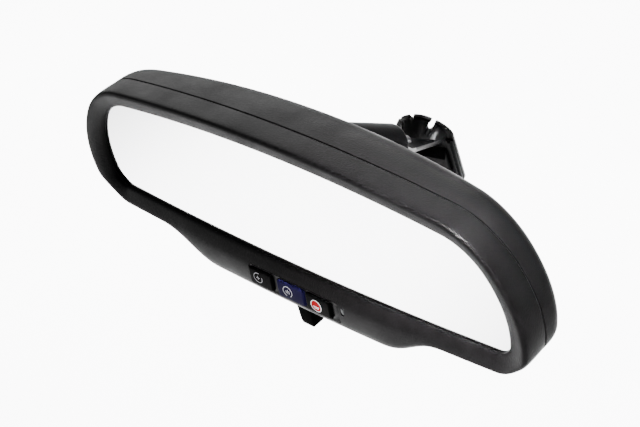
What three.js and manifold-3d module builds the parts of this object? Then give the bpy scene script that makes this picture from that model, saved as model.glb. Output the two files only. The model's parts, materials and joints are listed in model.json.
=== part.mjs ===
// Interior rearview mirror: a wide prismatic head with a three-button chin and a day/night lever,
// a double-ball arm and a slotted windscreen foot. Millimetres, +X to the driver's right,
// +Y towards the windscreen, +Z up, measured in the head's own frame.
import * as THREE from 'three';
import { mergeVertices } from 'three/addons/utils/BufferGeometryUtils.js';
import { ParametricGeometry } from 'three/addons/geometries/ParametricGeometry.js';
import Module from 'manifold-3d';

const wasm = await Module();
wasm.setup();

// ---- driving dimensions ----
const GAP = 0.3; // clearance left between pieces that rest on or sit in each other
const DEG = Math.PI / 180;

// Visible edge of the glass: tangent arcs from the top centre, clockwise, [radius, sweep in degrees]
const GLASS_TOP = 30.65;
const GLASS_ARCS = [[753.6, 7.01], [25.7, 49.68], [46.6, 42.75], [8.1, 76.09], [1412, 4.47]];
const ARC_STEPS = [4, 6, 5, 6, 13];

// Chin that holds the buttons: it flares out below the glass between two half-widths
const CHIN_CENTRE = -2.5;
const CHIN_START = 87;
const CHIN_FULL = 47;

// Cross-sections of the bezel as [outward offset from the glass edge, y], from the glass to the seam
const SEAM_Y = 9.5;
const BAND = [[0, 0.9], [0.35, 0], [1.6, -1], [4.5, -2.2], [7.4, -2.9], [8.7, -2.3], [9.2, -0.5],
  [9.25, 4], [9, SEAM_Y]];
const BAND_END = [[0, 0.9], [0.35, 0], [1.8, -1.2], [5.2, -2.8], [8.6, -3.6], [10.1, -2.9], [10.5, -0.9],
  [10.4, 4], [10, SEAM_Y]];
const BAND_CHIN = [[0, 0.9], [0.35, 0], [2, -1.4], [6, -3.6], [12, -4.4], [17.2, -4], [20.8, -2.1],
  [22.3, 2.5], [22.1, SEAM_Y]];
// The inside of the same sections, from the seam back to the glass
const INSIDE = [[6.6, SEAM_Y], [6.9, 5], [6.9, 3], [6.6, 2], [6.1, 1.4], [5.6, 1.05], [4.6, 0.9], [2.4, 0.9]];
const INSIDE_END = [[7.6, SEAM_Y], [7.9, 5], [7.9, 3], [7.6, 2], [7.1, 1.4], [6.4, 1.05], [5, 0.9],
  [2.4, 0.9]];
const INSIDE_CHIN = [[19.9, SEAM_Y], [20, 3.2], [18.9, 0], [16.6, -1.7], [12, -2.2], [8, -1.3], [5.2, 0.9],
  [2.4, 0.9]];
const BAND_STEPS = 13;

// Rear housing: a crowned shell behind the seam
const REAR_DEPTH = 29.6;
const REAR_END_LOSS = 0.5;
const REAR_POWER_Z = 2.85;
const REAR_POWER_X = 6;
const REAR_CENTRE_Z = 2;
const WALL = 2.2;
const REAR_RINGS = 9;
const REAR_HALF_WIDTH = 128;
const ARM_HOLE_R = 18.8;
const ARM_HOLE_Z = 7.6;

// Glass
const GLASS_FRONT = 1.2;
const GLASS_THIN = 2.6;
const GLASS_WEDGE = 1.9 * DEG;
const GLASS_TUCK = 2.2;

// Buttons, [centre x, width], and their common opening in the chin
const BUTTONS = { left: [-20.8, 14.2], centre: [-2.2, 16.4], right: [14.3, 14.4] };
const BUTTON_Z = [-46.6, -37.5];
const WINDOW = { x: [-28.4, 26.2], z: [-47.8, -36.3] };
const LED_X = 28.4;
const LED_Z = -39.6;
const LED_HALF = 1.6;

// Board behind the buttons
const BOARD_Y = 1.9;
const BOARD_T = 1.2;
const BOARD_Z = [-49.3, -35.6];
const BOARD_X = 40;
const BOARD_SCREW_X = 36;
const BOARD_SCREW_Z = -41;

// Wiring inlet in the back of the head
const PLUG = { x: [32, 46], y: [26, 37.6], z: [-14, -5] };
const PIN_Z = -9.5;
const PIN_PITCH = 2.4;

// Day/night lever and the carrier it moves
const LEVER_X = -5.6;
const LEVER_AXIS = [6.2, -43];
const LEVER_PIN_R = 1.5;
const LEVER_EAR_X = 12.3;
const LEVER_HALF = 4;
const LEVER_LENGTH = 26.2;
const CARRIER_AXIS = [17.5, 27];
const CARRIER_PIN_R = 1.6;
const CARRIER_Y = [16, 19];
const EAR_X = 32;

// Ball joints and arm
const BALL_R = 7.5;
const NECK_R = 3;
const SEAT_IN = 7.8;
const SEAT_OUT = 9.3;
const SOCKET_R = 9.6;
const SOCKET_OPENING = 55 * DEG;
const TUBE_R = 10.9;
const MIRROR_BALL = [34, 12.2];
const TUBE_ROUND = 2.8;
const ARM_PITCH = -32.6 * DEG;
const ARM_YAW = -6.1 * DEG;
const ARM_LENGTH = 33;
const STUD_PITCH = -20 * DEG;
const STUD_REACH = 14;

// Windscreen foot, in its own frame: x right, y towards the windscreen, z up, from the middle of the
// arch on the windscreen face
const FOOT_YAW = 16.1 * DEG;
const FOOT_RAKE = 17 * DEG;
const FOOT_ROLL = 5.2 * DEG;
const FOOT_BALL = [-4, -29.4, 23.9];
const FOOT_HALF = 13.9;
const FOOT_RISE = 11;
const FOOT_POWER = 1.75;
const FOOT_BOTTOM = -36;
const FOOT_EDGE = 1.6;
const FOOT_BASE = 2.6;
const FOOT_CLEAR = 12.6;
const HORN_DROP = 5;
const NECK_OF_HORN = 9.2;
const HORN_FLARE = 3;
const HORN_LENGTH = 29.8;
const HORN_UNDER = 0.3;
const HOLLOW_DEPTH = 10.5;
const CHANNEL_TOP = -12;
const CHANNEL_FLOOR = -4.3;
const MOUTH_HALF = 7;
const SET_SCREW_Z = -23;
// Slots of the bell, as [lean from upright in degrees, how far out they start]
const SLOTS = [[-64, 9.5], [-25, 10.6], [34, 8.8]];
const MOUNT_Z = -8.6;

// ---- materials ----
const plastic = (color, roughness) => new THREE.MeshStandardMaterial({ color, roughness, metalness: 0 });
const metal = (color, roughness) => new THREE.MeshStandardMaterial({ color, roughness, metalness: 1 });
const casingBlack = () => plastic(0x1b1a1c, 0.55);
const glossBlack = () => plastic(0x0e0e10, 0.25);
const nylon = () => plastic(0xd8d4c8, 0.5);
const steel = () => metal(0x9a9ca0, 0.35);
const boardGreen = () => plastic(0x1d5a3a, 0.6);

// ---- solids ----
// Merges shared corners, drops faces that have collapsed onto a pole and turns the body outwards
function closed(geometry) {
  const bare = geometry.clone();
  bare.deleteAttribute('normal');
  bare.deleteAttribute('uv');
  const merged = mergeVertices(bare, 1e-4);
  const point = merged.attributes.position;
  const old = merged.index.array;
  const faces = [];
  let volume = 0;
  const [a, b, c] = [new THREE.Vector3(), new THREE.Vector3(), new THREE.Vector3()];
  for (let i = 0; i < old.length; i += 3) {
    const [p, q, r] = [old[i], old[i + 1], old[i + 2]];
    if (p === q || q === r || r === p) continue;
    faces.push(p, q, r);
    volume += a.fromBufferAttribute(point, p).dot(b.fromBufferAttribute(point, q)
      .cross(c.fromBufferAttribute(point, r)));
  }
  if (volume < 0) faces.reverse();
  return { vertProperties: new Float32Array(point.array), triVerts: new Uint32Array(faces) };
}

function solid(geometry) {
  return new wasm.Manifold(new wasm.Mesh({ numProp: 3, ...closed(geometry) }));
}

function geometryOf(body) {
  const { vertProperties, triVerts } = body.getMesh();
  const geometry = new THREE.BufferGeometry();
  geometry.setAttribute('position', new THREE.BufferAttribute(vertProperties, 3));
  geometry.setIndex(new THREE.BufferAttribute(triVerts, 1));
  geometry.computeVertexNormals();
  return geometry;
}

function combine(base, additions, cuts) {
  let body = solid(base);
  for (const piece of additions) body = body.add(solid(piece));
  for (const piece of cuts) body = body.subtract(solid(piece));
  return geometryOf(body);
}

function mesh(name, geometry, material) {
  const piece = new THREE.Mesh(geometry, material);
  piece.name = name;
  return piece;
}

const X = new THREE.Vector3(1, 0, 0);
const Y = new THREE.Vector3(0, 1, 0);
const Z = new THREE.Vector3(0, 0, 1);

// A box between two corners
function block([x0, x1], [y0, y1], [z0, z1]) {
  return new THREE.BoxGeometry(x1 - x0, y1 - y0, z1 - z0)
    .translate((x0 + x1) / 2, (y0 + y1) / 2, (z0 + z1) / 2);
}

// A round bar from one point to another
function bar(radius, from, to, sides = 20) {
  const start = new THREE.Vector3(...from);
  const along = new THREE.Vector3(...to).sub(start);
  const turn = new THREE.Quaternion().setFromUnitVectors(Y, along.clone().normalize());
  const middle = start.addScaledVector(along, 0.5);
  return new THREE.CylinderGeometry(radius, radius, along.length(), sides)
    .applyQuaternion(turn).translate(middle.x, middle.y, middle.z);
}

// A turned piece: [radius, height] points about an axis through a point
function turned(profile, from, along, sides = 24) {
  const points = profile.map(([r, h]) => new THREE.Vector2(r, h));
  const turn = new THREE.Quaternion().setFromUnitVectors(Y, new THREE.Vector3(...along).normalize());
  return combine(new THREE.LatheGeometry(points, sides).applyQuaternion(turn).translate(...from), [], []);
}

// An outline in x and z, made into a plate between two y values
function plate(shape, [y0, y1], curveSegments = 6) {
  return new THREE.ExtrudeGeometry(shape, { depth: y1 - y0, bevelEnabled: false, curveSegments })
    .applyMatrix4(new THREE.Matrix4().makeBasis(X, Z, Y.clone().negate())).translate(0, y1, 0);
}

// An outline in y and z, made into a rail between two x values
function rail(points, [x0, x1]) {
  const shape = new THREE.Shape(points.map(([y, z]) => new THREE.Vector2(y, z)));
  return new THREE.ExtrudeGeometry(shape, { depth: x1 - x0, bevelEnabled: false })
    .applyMatrix4(new THREE.Matrix4().makeBasis(Y, Z, X)).translate(x0, 0, 0);
}

function roundedRectangle([x0, x1], [z0, z1], r) {
  const shape = new THREE.Shape();
  shape.moveTo(x0 + r, z0);
  shape.lineTo(x1 - r, z0);
  shape.absarc(x1 - r, z0 + r, r, -Math.PI / 2, 0);
  shape.lineTo(x1, z1 - r);
  shape.absarc(x1 - r, z1 - r, r, 0, Math.PI / 2);
  shape.lineTo(x0 + r, z1);
  shape.absarc(x0 + r, z1 - r, r, Math.PI / 2, Math.PI);
  shape.lineTo(x0, z0 + r);
  shape.absarc(x0 + r, z0 + r, r, Math.PI, 1.5 * Math.PI);
  return shape;
}

const grow = ([low, high], by) => [low - by, high + by];

// ---- the head's surface ----
// Stations round the glass edge: place, outward direction and how far each belongs to end or chin
function stationsRound() {
  const right = [];
  let x = 0;
  let z = GLASS_TOP;
  let heading = 0;
  GLASS_ARCS.forEach(([radius, sweep], arc) => {
    const cx = x - radius * Math.sin(heading);
    const cz = z - radius * Math.cos(heading);
    for (let i = 0; i < ARC_STEPS[arc]; i += 1) {
      const angle = heading + (sweep * DEG * i) / ARC_STEPS[arc];
      right.push({ x: cx + radius * Math.sin(angle), z: cz + radius * Math.cos(angle), angle });
    }
    heading += sweep * DEG;
    x = cx + radius * Math.sin(heading);
    z = cz + radius * Math.cos(heading);
  });
  const left = right.slice(1).reverse().map((s) => ({ x: -s.x, z: s.z, angle: -s.angle }));
  const all = [...right, { x: 0, z, angle: Math.PI }, ...left];
  return all.map((s) => {
    const nx = Math.sin(s.angle);
    const nz = Math.cos(s.angle);
    const near = (CHIN_START - Math.abs(s.x - CHIN_CENTRE)) / (CHIN_START - CHIN_FULL);
    const chin = nz < -0.9 ? THREE.MathUtils.smootherstep(near, 0, 1) : 0;
    const corner = 4 * nx * nx * nz * nz * (nz < 0 ? 1.1 : 0.3);
    return { x: s.x, z: s.z, nx, nz, chin, end: nx ** 6, corner };
  });
}
const stations = stationsRound();

const curveOf = (points) => new THREE.SplineCurve(points.map(([d, y]) => new THREE.Vector2(d, y)));
const bandCurves = [BAND, BAND_END, BAND_CHIN].map(curveOf);
const insideCurves = [INSIDE, INSIDE_END, INSIDE_CHIN].map(curveOf);

// Offset and y of a section at one station: side sections blend to the end's and the chin's
function sectionAt(curves, station, t) {
  const [side, end, chin] = curves.map((curve) => curve.getPoint(t));
  const trim = curves === bandCurves ? Math.min(1, 2 * t) : Math.min(1, 2 - 2 * t);
  const mixed = side.lerp(end, station.end);
  mixed.x -= station.corner * trim;
  return mixed.lerp(chin, station.chin);
}

function outward(station, offset, y) {
  return new THREE.Vector3(station.x + offset * station.nx, y, station.z + offset * station.nz);
}

// The glass edge as a shape, grown by an offset
function outlineShape(offset) {
  const points = stations.map((s) => new THREE.Vector2(s.x + offset * s.nx, s.z + offset * s.nz));
  return new THREE.Shape(points.reverse());
}

function loft(pointAt, rings) {
  const n = stations.length;
  const place = (u, v, target) => {
    const station = stations[Math.round(u * n) % n];
    return target.copy(pointAt(station, Math.round(v * rings)));
  };
  return new ParametricGeometry(place, n, rings);
}

// Chin face, as y for a height: used by everything that lies flush in it
function chinFaceY(z) {
  const curve = bandCurves[2];
  const depth = -z - GLASS_TOP;
  let [low, high] = [0, 1];
  for (let i = 0; i < 30; i += 1) {
    const middle = (low + high) / 2;
    if (curve.getPoint(middle).x < depth) low = middle;
    else high = middle;
  }
  return curve.getPoint(low).y;
}

// ---- front bezel ----
// A round bar on the lever's axis
function leverBar(radius, half, sides) {
  return bar(radius, [LEVER_X - half, ...LEVER_AXIS], [LEVER_X + half, ...LEVER_AXIS], sides);
}

function frontBezel() {
  const inner = INSIDE.length - 1;
  const rings = BAND_STEPS + inner + 2;
  const shell = loft((station, ring) => {
    const k = ring % rings;
    const onBand = k <= BAND_STEPS;
    const t = onBand ? k / BAND_STEPS : (k - BAND_STEPS - 1) / inner;
    const { x: offset, y } = sectionAt(onBand ? bandCurves : insideCurves, station, t);
    return outward(station, offset, y);
  }, rings);
  const ears = [-1, 1].map((side) => LEVER_X + side * LEVER_EAR_X)
    .map((x) => block([x - 1.3, x + 1.3], [3.6, 9], [-51.8, -39.8]));
  const screwBar = (radius, x, y0, y1, sides) => bar(radius, [x, y0, BOARD_SCREW_Z],
    [x, y1, BOARD_SCREW_Z], sides);
  const screws = [-BOARD_SCREW_X, BOARD_SCREW_X];
  const bosses = screws.map((x) => screwBar(2.8, x, -3, BOARD_Y - GAP, 16));
  const screwHoles = screws.map((x) => screwBar(1.3, x, -1.4, BOARD_Y + 1, 12));
  const window = plate(roundedRectangle(WINDOW.x, WINDOW.z, 1.6), [-12, 0.6], 3);
  const slit = block([LED_X - 1.1, LED_X + 1.1], [-12, 0.4], grow([LED_Z - LED_HALF, LED_Z + LED_HALF], GAP));
  const leverNotch = block(grow([LEVER_X, LEVER_X], LEVER_HALF + 1.8), [1.4, 20], [-60, -49]);
  const pinHole = leverBar(LEVER_PIN_R + GAP, LEVER_EAR_X + 3.7, 12);
  return combine(shell, [...ears, ...bosses], [window, slit, leverNotch, pinHole, ...screwHoles]);
}

// ---- rear housing ----
// One ring of the crowned shell, from the seam (0) to the middle of the back (1)
function rearPoint(station, share, inset) {
  const seam = sectionAt(bandCurves, station, 1);
  const edge = outward(station, seam.x - inset, 0);
  const turn = 1 - (1 - share) ** 1.6;
  const u = Math.sin((turn * Math.PI) / 2) ** (2 / 3);
  const closeTo = (power) => (share === 1 ? 0 : (1 - u ** power) ** (1 / power));
  const x = edge.x * closeTo(REAR_POWER_X);
  const depth = (REAR_DEPTH - inset) * (1 - REAR_END_LOSS * Math.abs(x / REAR_HALF_WIDTH) ** 2.2);
  return new THREE.Vector3(x, SEAM_Y + GAP + depth * u,
    REAR_CENTRE_Z + (edge.z - REAR_CENTRE_Z) * closeTo(REAR_POWER_Z));
}

function rearHousing() {
  const shell = loft((station, ring) => (ring <= REAR_RINGS
    ? rearPoint(station, 1 - ring / REAR_RINGS, 0)
    : rearPoint(station, (ring - REAR_RINGS - 1) / REAR_RINGS, WALL)), 2 * REAR_RINGS + 1);
  const [ay, az] = CARRIER_AXIS;
  const ears = [-1, 1].map((side) => block([side * EAR_X - 1.5, side * EAR_X + 1.5], [ay - 3.7, ay + 3.7],
    [az - 4, 36.3]));
  const springPost = block([-6, 6], [27, 36.4], [-31, -26]);
  const pinHole = bar(CARRIER_PIN_R + GAP, [-EAR_X - 5, ay, az], [EAR_X + 5, ay, az], 12);
  const armHole = bar(ARM_HOLE_R, [0, 25, ARM_HOLE_Z], [0, 60, ARM_HOLE_Z], 40);
  const plugHole = block(grow(PLUG.x, GAP), [25, 60], grow(PLUG.z, GAP));
  return combine(shell, [...ears, springPost], [pinHole, armHole, plugHole]);
}

// ---- glass ----
function wedgeCut(offset) {
  const box = new THREE.BoxGeometry(400, 60, 400).translate(0, 30, 0);
  return box.rotateX(GLASS_WEDGE).translate(0, GLASS_FRONT + GLASS_THIN + offset, GLASS_TOP);
}

function mirrorGlass() {
  return combine(plate(outlineShape(GLASS_TUCK), [GLASS_FRONT, GLASS_FRONT + 12]), [], [wedgeCut(0)]);
}

function glassPad() {
  const pad = solid(plate(outlineShape(-7.5), [GLASS_FRONT, GLASS_FRONT + 14]));
  return geometryOf(pad.intersect(solid(wedgeCut(GAP))).subtract(solid(wedgeCut(GAP + 0.8))));
}

// ---- buttons ----
function faceProfile([z0, z1], proud, back, steps) {
  const front = [];
  for (let i = 0; i <= steps; i += 1) {
    const z = z1 + ((z0 - z1) * i) / steps;
    const round = Math.sin((Math.PI * i) / steps) ** 0.5;
    front.push([chinFaceY(z) - proud * round, z]);
  }
  return [...front, [back, z0], [back, z1]];
}

function button([centre, width]) {
  const xs = [centre - width / 2, centre + width / 2];
  const cap = solid(rail(faceProfile(BUTTON_Z, 0.8, -1.2, 6), xs));
  const rounded = cap.intersect(solid(plate(roundedRectangle(xs, BUTTON_Z, 1.4), [-12, 4], 3)));
  const flange = block(grow(xs, 0.3), [-0.5, -0.1], [BUTTON_Z[0] - 0.7, BUTTON_Z[1] + 0.4]);
  const stem = block(grow(xs, -1), [-1.5, -0.4], grow(BUTTON_Z, -1));
  return geometryOf(rounded.add(solid(stem)).add(solid(flange)));
}

function buttonFrame() {
  const [inX, inZ] = [grow(WINDOW.x, -GAP), grow(WINDOW.z, -GAP)];
  const body = solid(rail(faceProfile(inZ, -0.5, -0.8, 6), inX));
  const rounded = body.intersect(solid(plate(roundedRectangle(inX, inZ, 1.4), [-12, 4], 3)));
  const flange = block(grow(WINDOW.x, 1.2), [-1.1, -0.8], [WINDOW.z[0] + 1.5, WINDOW.z[1] - 2.7]);
  let frame = rounded.add(solid(flange));
  for (const [centre, width] of Object.values(BUTTONS)) {
    const xs = [centre - width / 2 - GAP, centre + width / 2 + GAP];
    frame = frame.subtract(solid(plate(roundedRectangle(xs, grow(BUTTON_Z, GAP), 1.6), [-12, 4], 3)));
  }
  return geometryOf(frame);
}

// ---- electronics ----
function switchBoard() {
  const holes = [-BOARD_SCREW_X, BOARD_SCREW_X]
    .map((x) => bar(1.3, [x, 0, BOARD_SCREW_Z], [x, 9, BOARD_SCREW_Z], 12));
  const outline = roundedRectangle([-BOARD_X, BOARD_X], BOARD_Z, 2);
  return combine(plate(outline, [BOARD_Y, BOARD_Y + BOARD_T], 3), [], holes);
}

function tactileSwitch(centre) {
  const z = (BUTTON_Z[0] + BUTTON_Z[1]) / 2;
  const body = block([centre - 2.2, centre + 2.2], [0.9, BOARD_Y - GAP], [z - 2.2, z + 2.2]);
  return combine(body, [bar(1.1, [centre, 0.55, z], [centre, 1.2, z], 12)], []);
}

function boardScrew(side) {
  const x = side * BOARD_SCREW_X;
  const z = BOARD_SCREW_Z;
  const top = BOARD_Y + BOARD_T + GAP;
  const screw = turned([[0, 0], [2.1, 0], [2.1, 0.7], [1.4, 1.2], [0, 1.2]], [x, top, z], [0, 1, 0], 16);
  const slots = [[1.2, 0.25], [0.25, 1.2]]
    .map(([dx, dz]) => block([x - dx, x + dx], [top + 0.8, top + 3], [z - dz, z + dz]));
  return combine(screw, [bar(1, [x, -1, z], [x, top + 0.4, z], 12)], slots);
}

function ledLens() {
  const half = 0.8;
  const face = chinFaceY(LED_Z);
  const stem = block([LED_X - half, LED_X + half], [face + 0.1, 1], [LED_Z - LED_HALF, LED_Z + LED_HALF]);
  const foot = block(grow([LED_X, LED_X], 1.6), [0.5, 0.8], grow([LED_Z, LED_Z], LED_HALF + 0.6));
  return combine(stem, [foot], []);
}

const pinX = (i) => (PLUG.x[0] + PLUG.x[1]) / 2 + (i - 1.5) * PIN_PITCH;

function harnessConnector() {
  const shell = block(PLUG.x, PLUG.y, PLUG.z);
  const socket = block(grow(PLUG.x, -1.2), [PLUG.y[0] + 3, 60], grow(PLUG.z, -1.2));
  const flange = block(grow(PLUG.x, 1.2), [33.2, 34.4], grow(PLUG.z, 1.2));
  const pins = [0, 1, 2, 3].map((i) => block([pinX(i) - 0.35, pinX(i) + 0.35], [20, 60],
    [PIN_Z - 0.35, PIN_Z + 0.35]));
  return combine(shell, [flange], [socket, ...pins]);
}

function connectorPin(i) {
  return block(grow([pinX(i), pinX(i)], 0.15), [PLUG.y[0] - 3, PLUG.y[1] - 4.1],
    grow([PIN_Z, PIN_Z], 0.15));
}

// ---- day/night lever ----
// Side view of the finger tab about the lever's axis, as [y, z]: a thin shank and a deeper pad
const LEVER_SIDE = [[-1.2, 0], [-3, -9], [-4, -12], [-4, -22.5], [-3.6, -24.8], [-2.9, -25.9],
  [-1.6, -LEVER_LENGTH], [1.4, 0.3 - LEVER_LENGTH], [2.7, -24.6], [3.1, -20], [2.9, -15.4], [2, -14.3],
  [-0.6, -12.8], [-0.2, -9], [1.2, 0]];

function dayNightLever() {
  const [ay, az] = LEVER_AXIS;
  const outline = new THREE.Shape();
  const bottom = -LEVER_LENGTH - 0.4;
  outline.moveTo(-LEVER_HALF, 3);
  outline.lineTo(-LEVER_HALF, -15);
  outline.lineTo(-LEVER_HALF + 0.5, bottom + 3.2);
  outline.quadraticCurveTo(-LEVER_HALF + 0.7, bottom, -0.8, bottom);
  outline.quadraticCurveTo(LEVER_HALF - 0.2, bottom, LEVER_HALF, bottom + 3.6);
  outline.lineTo(LEVER_HALF, 3);
  const side = rail(LEVER_SIDE, [-LEVER_HALF - 1, LEVER_HALF + 1]);
  const tab = solid(side).intersect(solid(plate(outline, [-12, 12], 8))).translate([LEVER_X, ay, az]);
  const reach = [7.9, 10];
  const along = [LEVER_X - 6, LEVER_X + 6];
  const arm = bar(1.4, [along[0], ay + reach[0], az + reach[1]],
    [along[1], ay + reach[0], az + reach[1]], 14);
  const across = new THREE.Vector2(-reach[1], reach[0]).normalize().multiplyScalar(1.2);
  const web = rail([[ay - across.x, az - across.y], [ay + reach[0] - across.x, az + reach[1] - across.y],
    [ay + reach[0] + across.x, az + reach[1] + across.y], [ay + across.x, az + across.y]], grow(along, -0.5));
  const hole = leverBar(LEVER_PIN_R + GAP, 20, 12);
  return combine(geometryOf(tab), [leverBar(2.5, LEVER_EAR_X - 2, 20), web, arm], [hole]);
}

function detentSpring() {
  return rail([[31, -24.6], [24, -24.9], [20.3, -26.6], [19.5, -29.5], [19.9, -32.5], [20.4, -32.4],
    [20, -29.6], [20.8, -27], [24.2, -25.4], [31, -25.1]], [-4, 4]);
}

// ---- carrier ----
const studWay = [0, -Math.cos(STUD_PITCH), -Math.sin(STUD_PITCH)];
const fromBall = (distance) => [0, MIRROR_BALL[0] + distance * studWay[1],
  MIRROR_BALL[1] + distance * studWay[2]];

function carrierPlate() {
  const [ay, az] = CARRIER_AXIS;
  const outline = new THREE.Shape();
  outline.moveTo(-29.8, az);
  outline.lineTo(-29.8, 4);
  outline.quadraticCurveTo(-28, -8, -14, -14);
  outline.lineTo(-9, -36);
  outline.lineTo(9, -36);
  outline.lineTo(14, -14);
  outline.quadraticCurveTo(28, -8, 29.8, 4);
  outline.lineTo(29.8, az);
  const barrel = bar(3.4, [-29.8, ay, az], [29.8, ay, az], 20);
  const boss = bar(8.5, fromBall(STUD_REACH), fromBall(STUD_REACH + 6), 24);
  const cuts = [bar(CARRIER_PIN_R + GAP, [-40, ay, az], [40, ay, az], 12),
    bar(NECK_R + GAP, fromBall(8), fromBall(30), 16),
    bar(9.2, fromBall(STUD_REACH + 5.7), fromBall(STUD_REACH + 12), 24)];
  for (const side of [-1, 1]) cuts.push(bar(5.5, [side * 20, 10, 6], [side * 20, 25, 6], 20));
  return combine(plate(outline, CARRIER_Y, 5), [barrel, boss], cuts);
}

// ---- ball joints ----
// A ball on a neck; the ball's back is rounded, its neck runs out along +height
function ballStud(reach, from, along) {
  const profile = [];
  const neckAngle = Math.asin(NECK_R / BALL_R);
  for (let i = 0; i <= 10; i += 1) {
    const angle = Math.PI - ((Math.PI - neckAngle) * i) / 10;
    profile.push([BALL_R * Math.sin(angle), BALL_R * Math.cos(angle)]);
  }
  profile[0][0] = 0;
  profile.push([NECK_R, reach], [0, reach]);
  return turned(profile, from, along, 20);
}

// A nylon cup between two spheres, open at the neck side and drilled at the back
function ballSeat(from, along) {
  const [open, drilled] = [SOCKET_OPENING + 3 * DEG, Math.PI - 28 * DEG];
  const profile = [];
  const steps = 6;
  for (let i = 0; i <= steps; i += 1) {
    const angle = open + ((drilled - open) * i) / steps;
    profile.push([SEAT_IN * Math.sin(angle), SEAT_IN * Math.cos(angle)]);
  }
  for (let i = steps; i >= 0; i -= 1) {
    const angle = open + ((drilled - open) * i) / steps;
    profile.push([SEAT_OUT * Math.sin(angle), SEAT_OUT * Math.cos(angle)]);
  }
  profile.push(profile[0]);
  return turned(profile, from, along, 20);
}

// The arm: a tube with a spherical socket swaged into each end, along local +Y from ball to ball
function armTube() {
  const bore = 6.5;
  const lip = SOCKET_R * Math.cos(SOCKET_OPENING);
  const profile = [];
  const socket = (centre, sign) => {
    const first = SOCKET_OPENING;
    const last = Math.PI - Math.asin(bore / SOCKET_R);
    for (let i = 0; i <= 6; i += 1) {
      const angle = first + ((last - first) * i) / 6;
      profile.push([SOCKET_R * Math.sin(angle), centre + sign * SOCKET_R * Math.cos(angle)]);
    }
  };
  socket(0, -1);
  const far = profile.length;
  socket(ARM_LENGTH, 1);
  profile.push(...profile.splice(far).reverse());
  const end = (centre, sign, order) => order.map((k) => {
    const angle = (k * Math.PI) / 6;
    return [TUBE_R - TUBE_ROUND * (1 - Math.cos(angle)),
      centre + sign * (lip - TUBE_ROUND * (1 - Math.sin(angle)))];
  });
  profile.push(...end(ARM_LENGTH, 1, [3, 2, 1, 0]), ...end(0, -1, [0, 1, 2, 3]), profile[0]);
  return turned(profile, [0, 0, 0], [0, 1, 0], 28);
}

class Helix extends THREE.Curve {
  constructor(radius, start, end, turns) {
    super();
    Object.assign(this, { radius, start, end, turns });
  }

  getPoint(t, target = new THREE.Vector3()) {
    const angle = t * this.turns * 2 * Math.PI;
    return target.set(this.radius * Math.cos(angle), this.start + (this.end - this.start) * t,
      this.radius * Math.sin(angle));
  }
}

function armSpring() {
  const wire = new THREE.Shape();
  wire.absarc(0, 0, 0.6, 0, 2 * Math.PI);
  const turns = 3;
  const path = new Helix(5.2, 10.2, ARM_LENGTH - 10.2, turns);
  return new THREE.ExtrudeGeometry(wire, { steps: turns * 9, extrudePath: path, curveSegments: 3,
    bevelEnabled: false });
}

function studNut() {
  const nut = bar(5.2, fromBall(STUD_REACH + 6.4), fromBall(STUD_REACH + 9.2), 6);
  return combine(nut, [], [bar(NECK_R + GAP, fromBall(8), fromBall(30), 16)]);
}

// ---- windscreen foot, in its own frame ----
// A point of the arch for a turn from +x: a flattened half round above, a shallow one below
function archPoint(angle, low) {
  const [c, s] = [Math.cos(angle), Math.sin(angle)];
  const bend = (value) => Math.sign(value) * Math.abs(value) ** (2 / FOOT_POWER);
  return s >= 0 ? [FOOT_HALF * bend(c), FOOT_RISE * bend(s)] : [FOOT_HALF * c, low * s];
}

function footOutline() {
  const shape = new THREE.Shape();
  const [half, corner] = [FOOT_HALF, 3];
  shape.moveTo(-half + corner, FOOT_BOTTOM);
  shape.lineTo(half - corner, FOOT_BOTTOM);
  shape.absarc(half - corner, FOOT_BOTTOM + corner, corner, -Math.PI / 2, 0);
  for (let i = 0; i <= 24; i += 1) shape.lineTo(...archPoint((Math.PI * i) / 24, 0));
  shape.absarc(-half + corner, FOOT_BOTTOM + corner, corner, Math.PI, 1.5 * Math.PI);
  return shape;
}

const toHorn = [-FOOT_BALL[0], -FOOT_BALL[1], -HORN_DROP - FOOT_BALL[2]];
const footWay = toHorn.map((c) => c / Math.hypot(...toHorn));
const fromFootBall = (distance) => FOOT_BALL.map((c, i) => c + footWay[i] * distance);

function hornCentre(distance) {
  const drop = HORN_DROP * (1 - Math.exp(-distance / HORN_FLARE));
  return new THREE.Vector3(...footWay).multiplyScalar(-distance).add(new THREE.Vector3(0, 0, -drop));
}

// The horn from the windscreen face (distance 0) back to the ball, thinned by a wall for its hollow;
// its lower half leans less than its upper half, so that it stays behind the windscreen face
function hornPoint(angle, distance, thinner, low) {
  const flare = Math.exp(-distance / HORN_FLARE);
  const radius = NECK_OF_HORN + (FOOT_HALF - NECK_OF_HORN) * flare;
  const [ax, az] = archPoint(angle, low);
  const scale = radius - thinner;
  const x = scale * THREE.MathUtils.lerp(Math.cos(angle), ax / FOOT_HALF, flare);
  const z = scale * THREE.MathUtils.lerp(Math.sin(angle), az / FOOT_HALF, flare);
  const lean = Math.sin(angle) < 0 ? HORN_UNDER : 1;
  const tilt = lean * Math.asin(-footWay[2]) * THREE.MathUtils.smoothstep(distance, 0, 7);
  return new THREE.Vector3(x, 0, z).applyAxisAngle(X, tilt).add(hornCentre(distance));
}

// Rings of [distance, thinner], closed with a point at both ends
function horn(rings, low) {
  const sides = 32;
  const place = (u, v, target) => {
    const k = Math.round(v * (rings.length + 1)) - 1;
    const [distance, thinner] = rings[Math.min(Math.max(k, 0), rings.length - 1)];
    if (k >= 0 && k < rings.length) {
      return target.copy(hornPoint((2 * Math.PI * Math.round(u * sides)) / sides, distance, thinner, low));
    }
    return target.copy(hornCentre(distance));
  };
  return new ParametricGeometry(place, sides, rings.length + 1);
}

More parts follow.
